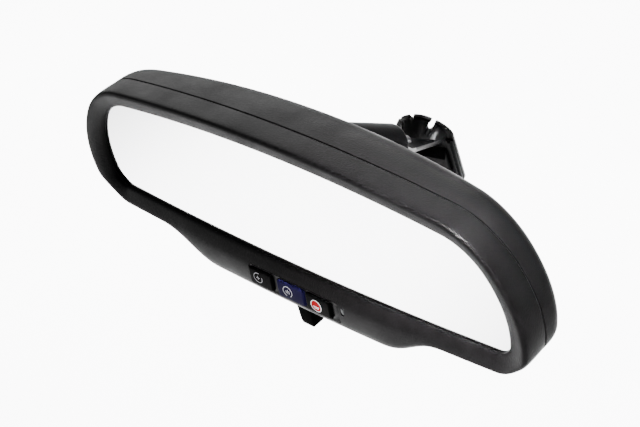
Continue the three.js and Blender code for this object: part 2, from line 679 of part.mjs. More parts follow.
function windscreenFoot() {
  const base = plate(footOutline(), [-FOOT_EDGE, 0], 4);
  const pad = block(grow([-FOOT_HALF, FOOT_HALF], -0.3), [-FOOT_BASE, -0.6], [FOOT_BOTTOM + 3.4, -3.2]);
  const body = rail([[-0.5, -7], [-1, -7], [-6.5, -13], [-6.5, FOOT_BOTTOM + 3], [-5.2, FOOT_BOTTOM + 1.5],
    [-0.5, FOOT_BOTTOM + 1.5]], [-9.6, 9.6]);
  const ribs = [-1, 1].map((side) => block([side * 11.8 - 0.6, side * 11.8 + 0.6], [-FOOT_BASE - 1.2, -1],
    [FOOT_BOTTOM + 4, -3]));
  const outside = horn([0.3, 0.9, 1.7, 2.8, 4.2, 6, 9, 16, HORN_LENGTH].map((d) => [d, 0]), 14);
  const hollow = horn([[-0.7, 1.6], [0.4, 1.7], [1.4, 1.8], [2.6, 1.9], [4.4, 2], [7, 2], [9.5, 3.4],
    [HOLLOW_DEPTH, 6.5]], 5.3);
  const swing = new THREE.SphereGeometry(FOOT_CLEAR, 32, 20).translate(...FOOT_BALL);
  const channel = block([-MOUTH_HALF, MOUTH_HALF], [CHANNEL_FLOOR, 5], [FOOT_BOTTOM - 5, CHANNEL_TOP]);
  const undercut = block(grow([-MOUTH_HALF, MOUTH_HALF], 1), [CHANNEL_FLOOR, -1.5],
    [FOOT_BOTTOM - 5, CHANNEL_TOP]);
  const studHole = bar(NECK_R + GAP, fromFootBall(8), fromFootBall(20.6), 16);
  const screwHole = bar(2.8, [0, -20, SET_SCREW_Z], [0, -2, SET_SCREW_Z], 16);
  const slots = SLOTS.flatMap(([lean, reach]) => {
    const end = [reach * Math.sin(lean * DEG), reach * Math.cos(lean * DEG)];
    return [block([-1, 1], [-7, 5], [reach, 20]).rotateY(lean * DEG),
      bar(1.4, [end[0], -8, end[1]], [end[0], 5, end[1]], 12)];
  });
  return combine(base, [pad, body, ...ribs, outside],
    [hollow, swing, channel, undercut, studHole, screwHole, ...slots]);
}

function setScrew() {
  const screw = bar(2.5, [0, -8.6, SET_SCREW_Z], [0, -4.5, SET_SCREW_Z], 20);
  return combine(screw, [], [bar(1.4, [0, -12, SET_SCREW_Z], [0, -6.2, SET_SCREW_Z], 6)]);
}

// ---- assembly ----
const [ballY, ballZ] = MIRROR_BALL;
const armTurn = new THREE.Euler(ARM_PITCH, 0, ARM_YAW, 'ZXY');
const bracketBall = new THREE.Vector3(0, ARM_LENGTH, 0).applyEuler(armTurn)
  .add(new THREE.Vector3(0, ballY, ballZ));

const head = new THREE.Group();
head.add(
  mesh('front_bezel', frontBezel(), casingBlack()),
  mesh('rear_housing', rearHousing(), casingBlack()),
  mesh('mirror_glass', mirrorGlass(), metal(0xf4f3f6, 0.03)),
  mesh('glass_backing_pad', glassPad(), plastic(0x303033, 0.9)),
  mesh('button_frame', buttonFrame(), glossBlack()),
  mesh('button_left', button(BUTTONS.left), plastic(0x1d1d20, 0.5)),
  mesh('button_centre', button(BUTTONS.centre), plastic(0x2c2d63, 0.45)),
  mesh('button_right', button(BUTTONS.right), plastic(0x121214, 0.5)),
  mesh('switch_board', switchBoard(), boardGreen()),
  mesh('led_lens', ledLens(), plastic(0xb9c0c2, 0.2)),
  mesh('harness_connector', harnessConnector(), plastic(0x202124, 0.5)),
  mesh('day_night_lever', dayNightLever(), casingBlack()),
  mesh('lever_pivot_pin', leverBar(LEVER_PIN_R, LEVER_EAR_X + 2.2, 14), steel()),
  mesh('detent_spring', detentSpring(), steel()),
  mesh('carrier_plate', carrierPlate(), metal(0x77797d, 0.5)),
  mesh('carrier_pivot_rod', bar(CARRIER_PIN_R, [-36, ...CARRIER_AXIS], [36, ...CARRIER_AXIS], 14), steel()),
  mesh('mirror_ball_stud', ballStud(STUD_REACH + 10, [0, ballY, ballZ], studWay), steel()),
  mesh('mirror_stud_nut', studNut(), steel()),
);
for (const [name, [centre]] of Object.entries(BUTTONS)) {
  head.add(mesh(`tactile_switch_${name}`, tactileSwitch(centre), plastic(0x2a2a2c, 0.6)));
}
for (const [name, side] of [['left', -1], ['right', 1]]) {
  head.add(mesh(`board_screw_${name}`, boardScrew(side), steel()));
}
for (let i = 0; i < 4; i += 1) {
  head.add(mesh(`connector_pin_${i + 1}`, connectorPin(i), metal(0xc9b46a, 0.3)));
}

const arm = new THREE.Group();
arm.position.set(0, ballY, ballZ);
arm.rotation.copy(armTurn);
arm.add(
  mesh('arm_tube', armTube(), plastic(0x232225, 0.45)),
  mesh('arm_spring', armSpring(), steel()),
  mesh('mirror_ball_seat', ballSeat([0, 0, 0], [0, -1, 0]), nylon()),
  mesh('bracket_ball_seat', ballSeat([0, ARM_LENGTH, 0], [0, 1, 0]), nylon()),
);

const foot = new THREE.Group();
foot.rotation.set(FOOT_RAKE, FOOT_ROLL, FOOT_YAW, 'ZXY');
foot.position.set(...FOOT_BALL).applyEuler(foot.rotation).negate().add(bracketBall);
foot.add(
  mesh('windscreen_foot', windscreenFoot(), glossBlack()),
  mesh('bracket_ball_stud', ballStud(20, FOOT_BALL, footWay), steel()),
  mesh('foot_set_screw', setScrew(), steel()),
);

// The origin is on the foot's windscreen face, between its hollow and its channel
foot.updateMatrixWorld();
const origin = new THREE.Vector3(0, 0, MOUNT_Z).applyMatrix4(foot.matrixWorld);
const mirror = new THREE.Group();
mirror.position.copy(origin).negate();
mirror.add(head, arm, foot);

export default mirror;
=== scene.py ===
import json
import math

import bmesh
import bpy
from mathutils import Matrix, Vector


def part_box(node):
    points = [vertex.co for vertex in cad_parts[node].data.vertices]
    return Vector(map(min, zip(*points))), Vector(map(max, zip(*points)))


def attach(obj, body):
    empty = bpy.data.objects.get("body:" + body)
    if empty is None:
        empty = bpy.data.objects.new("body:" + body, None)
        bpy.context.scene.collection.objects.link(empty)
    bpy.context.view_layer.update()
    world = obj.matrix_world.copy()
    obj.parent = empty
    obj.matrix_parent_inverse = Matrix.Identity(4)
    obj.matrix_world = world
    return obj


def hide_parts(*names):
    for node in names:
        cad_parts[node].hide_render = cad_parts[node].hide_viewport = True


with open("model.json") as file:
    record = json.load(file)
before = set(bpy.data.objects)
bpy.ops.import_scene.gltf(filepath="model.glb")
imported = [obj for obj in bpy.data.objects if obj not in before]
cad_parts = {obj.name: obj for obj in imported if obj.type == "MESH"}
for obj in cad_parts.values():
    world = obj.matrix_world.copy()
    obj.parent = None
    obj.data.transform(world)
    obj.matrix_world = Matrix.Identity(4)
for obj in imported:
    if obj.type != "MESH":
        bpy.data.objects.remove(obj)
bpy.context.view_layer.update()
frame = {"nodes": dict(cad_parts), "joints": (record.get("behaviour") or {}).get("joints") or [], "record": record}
NODES = frame["nodes"]

# ---------------------------------------------------------------- dimensions
MM = 0.001
GLASS_FRONT = 1.2  # y of the glass's front face in the head's own frame
# The head's own frame is square to the row frame; its origin follows from the CAD glass
glass_low, glass_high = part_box("mirror_glass")
HEAD = Vector((
    (glass_low.x + glass_high.x) / 2,
    glass_low.y - GLASS_FRONT * MM,
    (glass_low.z + glass_high.z) / 2,
))
SEAM_Y = 9.5
GAP = 0.3
EASE = 0.3  # rounding of the two edges that meet at the seam
GLASS_TOP = 30.65
GLASS_ARCS = [(753.6, 7.01), (25.7, 49.68), (46.6, 42.75), (8.1, 76.09), (1412, 4.47)]
ARC_STEPS = [36, 22, 18, 24, 100]
CHIN_CENTRE, CHIN_START, CHIN_FULL = -2.5, 87, 47
# Sections of the bezel as (offset outwards from the glass edge, y), outside and then inside
BAND = [(0, 0.9), (0.35, 0), (1.6, -1), (4.5, -2.2), (7.4, -2.9), (8.7, -2.3), (9.2, -0.5), (9.25, 4),
        (9, SEAM_Y)]
BAND_END = [(0, 0.9), (0.35, 0), (1.8, -1.2), (5.2, -2.8), (8.6, -3.6), (10.1, -2.9), (10.5, -0.9), (10.4, 4),
            (10, SEAM_Y)]
BAND_CHIN = [(0, 0.9), (0.35, 0), (2, -1.4), (6, -3.6), (12, -4.4), (17.2, -4), (20.8, -2.1), (22.3, 2.5),
             (22.1, SEAM_Y)]
INSIDE = [(6.6, SEAM_Y), (6.9, 5), (6.9, 3), (6.6, 2), (6.1, 1.4), (5.6, 1.05), (4.6, 0.9), (2.4, 0.9)]
INSIDE_END = [(7.6, SEAM_Y), (7.9, 5), (7.9, 3), (7.6, 2), (7.1, 1.4), (6.4, 1.05), (5, 0.9), (2.4, 0.9)]
INSIDE_CHIN = [(19.9, SEAM_Y), (20, 3.2), (18.9, 0), (16.6, -1.7), (12, -2.2), (8, -1.3), (5.2, 0.9),
               (2.4, 0.9)]
REAR_DEPTH, REAR_END_LOSS, REAR_HALF_WIDTH, REAR_CENTRE_Z = 29.6, 0.5, 128, 2
REAR_POWER_X, REAR_POWER_Z, REAR_LOSS_POWER, REAR_SPACING, WALL = 6, 2.85, 2.2, 1.6, 2.2
ARM_HOLE_R, ARM_HOLE_Z = 18.8, 7.6
WINDOW_X, WINDOW_Z = (-28.4, 26.2), (-47.8, -36.3)
BUTTONS = {"left": (-20.8, 14.2), "centre": (-2.2, 16.4), "right": (14.3, 14.4)}
BUTTON_Z = (-46.6, -37.5)
KEY_PROUD, KEY_EDGE, KEY_CORNER, KEY_BACK = 0.8, 0.8, 1.6, -0.4
PRINT_LIFT, PRINT_THICK = 0.05, 0.05
LED_X, LED_Z, LED_HALF = 28.4, -39.6, 1.6
PLUG_X, PLUG_Z = (32, 46), (-14, -5)
LEVER_X, LEVER_HALF = -5.6, 4
ROUND = 96  # points round a turned shape


# ---------------------------------------------------------------- helpers
def spline(points, t):
    """Catmull-Rom point on a list of points, t from 0 to 1."""
    n = len(points)
    place = (n - 1) * t
    k = min(int(place), n - 1)
    w = place - k
    p0 = points[max(k - 1, 0)]
    p1 = points[k]
    p2 = points[min(k + 1, n - 1)]
    p3 = points[min(k + 2, n - 1)]
    out = []
    for a, b, c, d in zip(p0, p1, p2, p3):
        v0, v1 = (c - a) / 2, (d - b) / 2
        out.append((2 * b - 2 * c + v0 + v1) * w**3 + (3 * c - 3 * b - 2 * v0 - v1) * w * w + v0 * w + b)
    return out


def smooth_step(x):
    x = min(max(x, 0), 1)
    return x**3 * (x * (6 * x - 15) + 10)


def make_stations():
    """Stations round the glass edge: x, z, outward direction, chin share, end share, corner share."""
    right = []
    x, z, heading = 0.0, GLASS_TOP, 0.0
    for (radius, sweep), steps in zip(GLASS_ARCS, ARC_STEPS):
        cx, cz = x - radius * math.sin(heading), z - radius * math.cos(heading)
        for i in range(steps):
            angle = heading + math.radians(sweep) * i / steps
            right.append((cx + radius * math.sin(angle), cz + radius * math.cos(angle), angle))
        heading += math.radians(sweep)
        x, z = cx + radius * math.sin(heading), cz + radius * math.cos(heading)
    left = [(-a, b, -c) for a, b, c in reversed(right[1:])]
    found = []
    for px, pz, angle in [*right, (0, z, math.pi), *left]:
        nx, nz = math.sin(angle), math.cos(angle)
        near = (CHIN_START - abs(px - CHIN_CENTRE)) / (CHIN_START - CHIN_FULL)
        chin = smooth_step(near) if nz < -0.9 else 0
        corner = 4 * nx * nx * nz * nz * (1.1 if nz < 0 else 0.3)
        found.append((px, pz, nx, nz, chin, nx**6, corner))
    return found


STATIONS = make_stations()


def section(curves, band, station, t):
    """Offset and y at a station: the side, end and chin curves blended by the station's shares."""
    side, end, chin = (spline(c, t) for c in curves)
    trim = min(1, 2 * t) if band else min(1, 2 - 2 * t)
    offset = side[0] + (end[0] - side[0]) * station[5] - station[6] * trim
    y = side[1] + (end[1] - side[1]) * station[5]
    return offset + (chin[0] - offset) * station[4], y + (chin[1] - y) * station[4]


def head_point(x, y, z):
    return HEAD + Vector((x, y, z)) * MM


def at_offset(station, offset, y):
    return head_point(station[0] + offset * station[2], y, station[1] + offset * station[3])


def chin_face_y(z):
    """The y of the chin's outside face at a height z below the glass, found by halving."""
    depth = -z - GLASS_TOP
    low, high = 0.0, 1.0
    for _ in range(24):
        middle = (low + high) / 2
        if spline(BAND_CHIN, middle)[0] < depth:
            low = middle
        else:
            high = middle
    return spline(BAND_CHIN, low)[1]


def new_object(name, bm, look=None):
    mesh = bpy.data.meshes.new(name)
    bm.to_mesh(mesh)
    bm.free()
    obj = bpy.data.objects.new(name, mesh)
    bpy.context.scene.collection.objects.link(obj)
    if look:
        mesh.materials.append(LOOKS[look])
    return obj


def smooth(obj, angle):
    obj.data.shade_smooth()
    obj.data.set_sharp_from_angle(angle=math.radians(angle))


def bake(obj):
    """Applies the modifiers of a piece."""
    bpy.context.view_layer.update()
    graph = bpy.context.evaluated_depsgraph_get()
    mesh = bpy.data.meshes.new_from_object(obj.evaluated_get(graph))
    old = obj.data
    obj.modifiers.clear()
    obj.data = mesh
    bpy.data.meshes.remove(old)


def ring_loft(name, rings, close_rings, look):
    """A mesh over closed rings of points; it joins the last ring to the first, or caps both ends."""
    bm = bmesh.new()
    loops = [[bm.verts.new(p) for p in ring] for ring in rings]
    n = len(loops[0])
    pairs = list(zip(loops, loops[1:]))
    if close_rings:
        pairs.append((loops[-1], loops[0]))
    for a, b in pairs:
        for i in range(n):
            j = (i + 1) % n
            bm.faces.new((a[i], a[j], b[j], b[i]))
    if not close_rings:
        bm.faces.new(list(reversed(loops[0])))
        bm.faces.new(loops[-1])
    bmesh.ops.recalc_face_normals(bm, faces=bm.faces)
    return new_object(name, bm, look)


def box_cutter(x, y, z, bevel):
    """A box to cut with, its four edges along y rounded."""
    bm = bmesh.new()
    bmesh.ops.create_cube(bm, size=1)
    size = Vector((x[1] - x[0], y[1] - y[0], z[1] - z[0])) * MM
    middle = head_point((x[0] + x[1]) / 2, (y[0] + y[1]) / 2, (z[0] + z[1]) / 2)
    bmesh.ops.transform(bm, matrix=Matrix.Translation(middle) @ Matrix.Diagonal((*size, 1)), verts=bm.verts)
    along_y = [e for e in bm.edges if abs((e.verts[0].co - e.verts[1].co).y) > 1e-6]
    bmesh.ops.bevel(bm, geom=along_y, offset=bevel * MM, segments=5, profile=0.5, affect="EDGES")
    return new_object("cutter", bm)


def rod_cutter(radius, y, z):
    """A round bar along y to cut with."""
    bm = bmesh.new()
    bmesh.ops.create_cone(bm, cap_ends=True, segments=ROUND, radius1=radius * MM, radius2=radius * MM,
                          depth=(y[1] - y[0]) * MM)
    place = Matrix.Translation(head_point(0, (y[0] + y[1]) / 2, z)) @ Matrix.Rotation(math.pi / 2, 4, "X")
    bmesh.ops.transform(bm, matrix=place, verts=bm.verts)
    return new_object("cutter", bm)


def cut(obj, cutters):
    for c in cutters:
        m = obj.modifiers.new("cut", "BOOLEAN")
        m.operation, m.solver, m.object = "DIFFERENCE", "EXACT", c
    bake(obj)
    for c in cutters:
        bpy.data.objects.remove(c)


def refined(name, node, body, look, bevel, angle=30, segments=2):
    """A finer copy of a CAD node: flat faces merged, edges rounded, curved faces shaded smooth."""
    bm = bmesh.new()
    bm.from_mesh(NODES[node].data)
    bmesh.ops.remove_doubles(bm, verts=bm.verts, dist=2e-6)
    bmesh.ops.dissolve_limit(bm, angle_limit=math.radians(1.2), verts=bm.verts, edges=bm.edges)
    obj = new_object(name, bm, look)
    m = obj.modifiers.new("round", "BEVEL")
    m.width, m.segments, m.limit_method = bevel * MM, segments, "ANGLE"
    m.angle_limit = math.radians(38)
    m.use_clamp_overlap = True
    bake(obj)
    smooth(obj, angle)
    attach(obj, body)
    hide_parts(node)


# ---------------------------------------------------------------- materials
WORN_SCALE = 0.35  # scale of the uneven roughness, as a share of the colour blotches' scale


def material(name, dark, light, rough, metal=0.0, level=0.5, spot=180, grain=0.0, grain_scale=1500,
             wave=0.0, wave_scale=60):
    """A finish with blotched colour, uneven roughness, a fine grain and a slow waviness."""
    made = bpy.data.materials.new(name)
    made.use_nodes = True
    tree = made.node_tree
    tree.nodes.clear()
    link = tree.links.new
    out = tree.nodes.new("ShaderNodeOutputMaterial")
    shader = tree.nodes.new("ShaderNodeBsdfPrincipled")
    link(shader.outputs["BSDF"], out.inputs["Surface"])
    shader.inputs["Metallic"].default_value = metal
    shader.inputs["Specular IOR Level"].default_value = level
    place = tree.nodes.new("ShaderNodeTexCoord")

    def noise(scale, detail):
        node = tree.nodes.new("ShaderNodeTexNoise")
        node.inputs["Scale"].default_value = scale
        node.inputs["Detail"].default_value = detail
        link(place.outputs["Object"], node.inputs["Vector"])
        return node

    blotch = noise(spot, 5)
    ramp = tree.nodes.new("ShaderNodeValToRGB")
    ramp.color_ramp.elements[0].position = 0.36
    ramp.color_ramp.elements[1].position = 0.68
    ramp.color_ramp.elements[0].color = (*dark, 1)
    ramp.color_ramp.elements[1].color = (*light, 1)
    link(blotch.outputs["Fac"], ramp.inputs["Fac"])
    link(ramp.outputs["Color"], shader.inputs["Base Color"])
    worn = noise(spot * WORN_SCALE, 6)
    span = tree.nodes.new("ShaderNodeMapRange")
    span.inputs["From Min"].default_value = 0.3
    span.inputs["From Max"].default_value = 0.7
    span.inputs["To Min"].default_value = rough[0]
    span.inputs["To Max"].default_value = rough[1]
    link(worn.outputs["Fac"], span.inputs["Value"])
    link(span.outputs["Result"], shader.inputs["Roughness"])
    normal = None
    if wave:
        slow = noise(wave_scale, 2)
        node = tree.nodes.new("ShaderNodeBump")
        node.inputs["Strength"].default_value = wave
        node.inputs["Distance"].default_value = 0.0006
        link(slow.outputs["Fac"], node.inputs["Height"])
        normal = node
    if grain:
        cells = tree.nodes.new("ShaderNodeTexVoronoi")
        cells.feature = "SMOOTH_F1"
        cells.inputs["Scale"].default_value = grain_scale
        link(place.outputs["Object"], cells.inputs["Vector"])
        node = tree.nodes.new("ShaderNodeBump")
        node.inputs["Strength"].default_value = grain
        node.inputs["Distance"].default_value = 0.00012
        link(cells.outputs["Distance"], node.inputs["Height"])
        if normal:
            link(normal.outputs["Normal"], node.inputs["Normal"])
        normal = node
    if normal:
        link(normal.outputs["Normal"], shader.inputs["Normal"])
    return made


FINISHES = {
    "casing_black": {
        "dark": (0.0008, 0.00075, 0.0008), "light": (0.0013, 0.0012, 0.0013), "rough": (0.36, 0.5),
        "level": 0.031, "grain": 0.6, "grain_scale": 1500, "wave": 0.05,
    },
    "lever_black": {
        "dark": (0.0003, 0.0003, 0.00035), "light": (0.0005, 0.0005, 0.0006), "rough": (0.44, 0.58),
        "level": 0.0015, "grain": 0.3, "grain_scale": 1700,
    },
    "mirror_glass": {
        "dark": (0.93, 0.93, 0.94), "light": (0.95, 0.95, 0.955), "rough": (0.012, 0.03),
        "metal": 1, "spot": 30,
    },
    "foam_pad": {
        "dark": (0.02, 0.02, 0.02), "light": (0.04, 0.04, 0.04), "rough": (0.8, 0.95),
        "grain": 0.8, "grain_scale": 900,
    },
    "frame_black": {
        "dark": (0.0005, 0.0005, 0.0006), "light": (0.0008, 0.0008, 0.0009), "rough": (0.25, 0.36),
        "level": 0.02, "wave": 0.03, "grain": 0.1, "grain_scale": 2200,
    },
    "button_charcoal": {
        "dark": (0.0006, 0.0006, 0.00065), "light": (0.001, 0.001, 0.0011), "rough": (0.48, 0.6),
        "level": 0.01, "grain": 0.3, "grain_scale": 2600,
    },
    "button_blue": {
        "dark": (0.0034, 0.0026, 0.014), "light": (0.0042, 0.0032, 0.017), "rough": (0.45, 0.58),
        "level": 0.007, "grain": 0.3, "grain_scale": 2600,
    },
    "button_black": {
        "dark": (0.00025, 0.0003, 0.0003), "light": (0.0004, 0.0005, 0.0005), "rough": (0.46, 0.58),
        "level": 0.008, "grain": 0.3, "grain_scale": 2600,
    },
    "circuit_board": {
        "dark": (0.012, 0.11, 0.045), "light": (0.02, 0.15, 0.06), "rough": (0.4, 0.55),
        "grain": 0.2, "grain_scale": 700,
    },
    "switch_black": {
        "dark": (0.02, 0.02, 0.02), "light": (0.035, 0.035, 0.035), "rough": (0.4, 0.55),
        "grain": 0.2, "grain_scale": 2200,
    },
    "lamp_lens": {
        "dark": (0.011, 0.012, 0.012), "light": (0.018, 0.019, 0.019), "rough": (0.14, 0.22),
        "level": 0.05, "grain": 0.1, "grain_scale": 1800,
    },
    "connector_black": {
        "dark": (0.012, 0.012, 0.012), "light": (0.02, 0.02, 0.02), "rough": (0.4, 0.52),
        "level": 0.3, "grain": 0.3, "grain_scale": 1800,
    },
    "contact_metal": {
        "dark": (0.7, 0.57, 0.28), "light": (0.8, 0.67, 0.38), "rough": (0.2, 0.34),
        "metal": 1,
    },
    "plated_steel": {
        "dark": (0.16, 0.16, 0.165), "light": (0.22, 0.22, 0.225), "rough": (0.25, 0.42),
        "metal": 1, "grain": 0.15, "grain_scale": 1400,
    },
    "spring_steel": {
        "dark": (0.36, 0.36, 0.37), "light": (0.46, 0.46, 0.47), "rough": (0.25, 0.42),
        "metal": 1, "grain": 0.1, "grain_scale": 1600,
    },
    "cast_alloy": {
        "dark": (0.36, 0.37, 0.38), "light": (0.46, 0.47, 0.48), "rough": (0.42, 0.6),
        "metal": 1, "grain": 0.5, "grain_scale": 900,
    },
    "arm_black": {
        "dark": (0.0007, 0.0007, 0.0008), "light": (0.0011, 0.0011, 0.0012), "rough": (0.32, 0.44),
        "level": 0.035, "grain": 0.2, "grain_scale": 1700, "wave": 0.05,
    },
    "nylon": {
        "dark": (0.62, 0.6, 0.53), "light": (0.74, 0.72, 0.65), "rough": (0.4, 0.52),
        "grain": 0.15, "grain_scale": 1500,
    },
    "foot_black": {
        "dark": (0.0004, 0.0004, 0.00045), "light": (0.0007, 0.0007, 0.0008), "rough": (0.28, 0.38),
        "level": 0.038, "wave": 0.12, "wave_scale": 90, "grain": 0.06, "grain_scale": 900,
    },
    "print_white": {
        "dark": (0.38, 0.38, 0.4), "light": (0.48, 0.48, 0.5), "rough": (0.45, 0.6),
        "level": 0.05, "grain": 0.2, "grain_scale": 3000,
    },
    "print_red": {
        "dark": (0.13, 0.0002, 0.0022), "light": (0.16, 0.0003, 0.0027), "rough": (0.4, 0.55),
        "level": 0.01, "grain": 0.2, "grain_scale": 3000,
    },
    "floor_paper": {
        "dark": (0.93, 0.93, 0.935), "light": (0.95, 0.95, 0.955), "rough": (0.8, 0.95),
        "level": 0.2, "spot": 3,
    },
}
LOOKS = {name: material(name, **finish) for name, finish in FINISHES.items()}

for part in frame["record"]["subparts"]:
    data = NODES[part["node"]].data
    data.materials.clear()
    data.materials.append(LOOKS[part["material_slot"]])
for rounded in ("mirror_ball_stud", "bracket_ball_stud", "arm_spring", "mirror_ball_seat",
                "bracket_ball_seat", "carrier_pivot_rod", "lever_pivot_pin", "foot_set_screw",
                "carrier_plate", "detent_spring"):
    smooth(NODES[rounded], 35)


# ---------------------------------------------------------------- front bezel
def front_bezel():
    band, inside = (BAND, BAND_END, BAND_CHIN), (INSIDE, INSIDE_END, INSIDE_CHIN)
    steps, back = 44, 20
    rings = [[at_offset(s, *section(band, True, s, k / steps)) for s in STATIONS] for k in range(steps - 1)]
    seam = [(s, *section(band, True, s, 1)) for s in STATIONS]
    rings.append([at_offset(s, offset, SEAM_Y - EASE) for s, offset, y in seam])
    rings.append([at_offset(s, offset - EASE, y) for s, offset, y in seam])
    for k in range(back + 1):
        rings.append([at_offset(s, *section(inside, False, s, k / back)) for s in STATIONS])
    obj = ring_loft("bezel", rings, True, "casing_black")
    lamp_half, lever_half = 1.1, LEVER_HALF + 1.8
    lamp_z = (LED_Z - LED_HALF - GAP, LED_Z + LED_HALF + GAP)
    cut(obj, [
        box_cutter(WINDOW_X, (-12, 0.6), WINDOW_Z, 1.6),
        box_cutter((LED_X - lamp_half, LED_X + lamp_half), (-12, 0.4), lamp_z, 0.7),
        box_cutter((LEVER_X - lever_half, LEVER_X + lever_half), (1.4, 20), (-60, -49), 0.8),
    ])
    smooth(obj, 38)
    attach(obj, "head")
    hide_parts("front_bezel")


# ---------------------------------------------------------------- rear housing
def rear_point(station, share, inset, pull=0.0, lift=0.0):
    """A point of the crowned shell: share is 0 at the seam and 1 at the middle of the back."""
    offset, _ = section((BAND, BAND_END, BAND_CHIN), True, station, 1)
    offset -= inset + pull
    ex, ez = station[0] + offset * station[2], station[1] + offset * station[3]
    turn = 1 - (1 - share) ** REAR_SPACING
    u = math.sin(turn * math.pi / 2) ** (2 / 3)
    cx = (1 - u**REAR_POWER_X) ** (1 / REAR_POWER_X)
    cz = (1 - u**REAR_POWER_Z) ** (1 / REAR_POWER_Z)
    x = ex * cx
    depth = (REAR_DEPTH - inset) * (1 - REAR_END_LOSS * abs(x / REAR_HALF_WIDTH) ** REAR_LOSS_POWER)
    return head_point(x, SEAM_Y + GAP + lift + depth * u, REAR_CENTRE_Z + (ez - REAR_CENTRE_Z) * cz)


def rear_housing():
    steps, middle = 46, 0.004
    shares = [1 - (1 - middle) * k / steps - middle for k in range(steps + 1)]
    rings = [[rear_point(s, share, 0) for s in STATIONS] for share in shares[:-1]]
    rings.append([rear_point(s, 0, 0, lift=EASE) for s in STATIONS])
    rings.append([rear_point(s, 0, 0, pull=EASE) for s in STATIONS])
    rings += [[rear_point(s, share, WALL) for s in STATIONS] for share in reversed(shares[::2])]
    obj = ring_loft("housing", rings, False, "casing_black")
    through = (25, 60)
    cut(obj, [
        rod_cutter(ARM_HOLE_R, through, ARM_HOLE_Z),
        box_cutter((PLUG_X[0] - GAP, PLUG_X[1] + GAP), through, (PLUG_Z[0] - GAP, PLUG_Z[1] + GAP), 0.6),
    ])
    smooth(obj, 38)
    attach(obj, "head")
    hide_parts("rear_housing")


# ---------------------------------------------------------------- buttons
def cap_face(name, mx, width, look):
    """A domed key: a rounded rectangle that follows the chin face, with rolled edges and straight sides."""
    mz, hx, hz = (BUTTON_Z[0] + BUTTON_Z[1]) / 2, width / 2, (BUTTON_Z[1] - BUTTON_Z[0]) / 2
    edge, corner, columns, rows, spacing = KEY_EDGE, KEY_CORNER, 44, 30, 0.8
    bm = bmesh.new()
    grid = []
    for j in range(rows + 1):
        row = []
        for i in range(columns + 1):
            u, v = 2 * i / columns - 1, 2 * j / rows - 1
            u, v = math.copysign(abs(u) ** spacing, u), math.copysign(abs(v) ** spacing, v)
            gap = min((1 - abs(u)) * hx, (1 - abs(v)) * hz)
            x, z = u * hx, v * hz
            a, b = (abs(x) - hx + corner) / corner, (abs(z) - hz + corner) / corner
            if a > 0 and b > 0:
                gap = (1 - max(a, b)) * corner
                x = math.copysign(hx - corner + corner * a * math.sqrt(1 - b * b / 2), x)
                z = math.copysign(hz - corner + corner * b * math.sqrt(1 - a * a / 2), z)
            rise = 1 - min(gap / edge, 1)
            drop = edge * (1 - math.sqrt(max(0, 1 - rise * rise)))
            y = chin_face_y(mz + z) - KEY_PROUD + drop
            row.append(bm.verts.new(head_point(mx + x, y, mz + z)))
        grid.append(row)
    for j in range(rows):
        for i in range(columns):
            bm.faces.new((grid[j][i], grid[j][i + 1], grid[j + 1][i + 1], grid[j + 1][i]))
    border = [e for e in bm.edges if len(e.link_faces) == 1]
    made = bmesh.ops.extrude_edge_only(bm, edges=border)["geom"]
    for v in made:
        if isinstance(v, bmesh.types.BMVert):
            v.co.y = head_point(0, KEY_BACK, 0).y
    rim = [e for e in bm.edges if len(e.link_faces) == 1]
    bmesh.ops.contextual_create(bm, geom=rim)
    bmesh.ops.recalc_face_normals(bm, faces=bm.faces)
    return new_object(name, bm, look)


def face_point(keycap, x, z):
    """The point of a key's face that lies behind x and z of the head's frame, in metres."""
    start = head_point(x, -14, z)
    hit, place = keycap.ray_cast(start, Vector((0, 1, 0)))[:2]
    return place if hit else start


def print_ribbon(name, keycap, lines, width, body, look, lift=PRINT_LIFT):
    """Printed lines on a key: each line is [(x, z), ...] in millimetres, width wide."""
    bm = bmesh.new()
    for line in lines:
        left, right = [], []
        for k, (x, z) in enumerate(line):
            ax, az = line[max(k - 1, 0)]
            bx, bz = line[min(k + 1, len(line) - 1)]
            length = math.hypot(bx - ax, bz - az) or 1
            nx, nz = -(bz - az) / length * width / 2, (bx - ax) / length * width / 2
            for side, sign in ((left, 1), (right, -1)):
                p = face_point(keycap, x + sign * nx, z + sign * nz) - Vector((0, lift * MM, 0))
                side.append(bm.verts.new(p))
        for k in range(len(line) - 1):
            bm.faces.new((left[k], left[k + 1], right[k + 1], right[k]))
    bmesh.ops.recalc_face_normals(bm, faces=bm.faces)
    obj = new_object(name, bm, look)
    thick = obj.modifiers.new("thick", "SOLIDIFY")
    thick.thickness, thick.offset = PRINT_THICK * MM, 0
    bake(obj)
    smooth(obj, 40)
    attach(obj, body)


def arc(cx, cz, radius, start, stop, steps=40):
    angles = [math.radians(start + (stop - start) * k / steps) for k in range(steps + 1)]
    return [(cx + radius * math.cos(a), cz + radius * math.sin(a)) for a in angles]


def straight(x0, z0, x1, z1, steps=8):
    return [(x0 + (x1 - x0) * k / steps, z0 + (z1 - z0) * k / steps) for k in range(steps + 1)]


def print_disc(name, keycap, cx, cz, radius, body, look, lift):
    """A printed disc, laid on a key in strips."""
    strips, count, overlap = [], 26, 1.02
    for k in range(count):
        z = cz + radius * (2 * (k + 0.5) / count - 1)
        half = math.sqrt(max(radius**2 - (z - cz) ** 2, 0.0))
        if half > 0.1:
            strips.append(straight(cx - half, z, cx + half, z, 20))
    print_ribbon(name, keycap, strips, 2 * radius / count * overlap, body, look, lift)


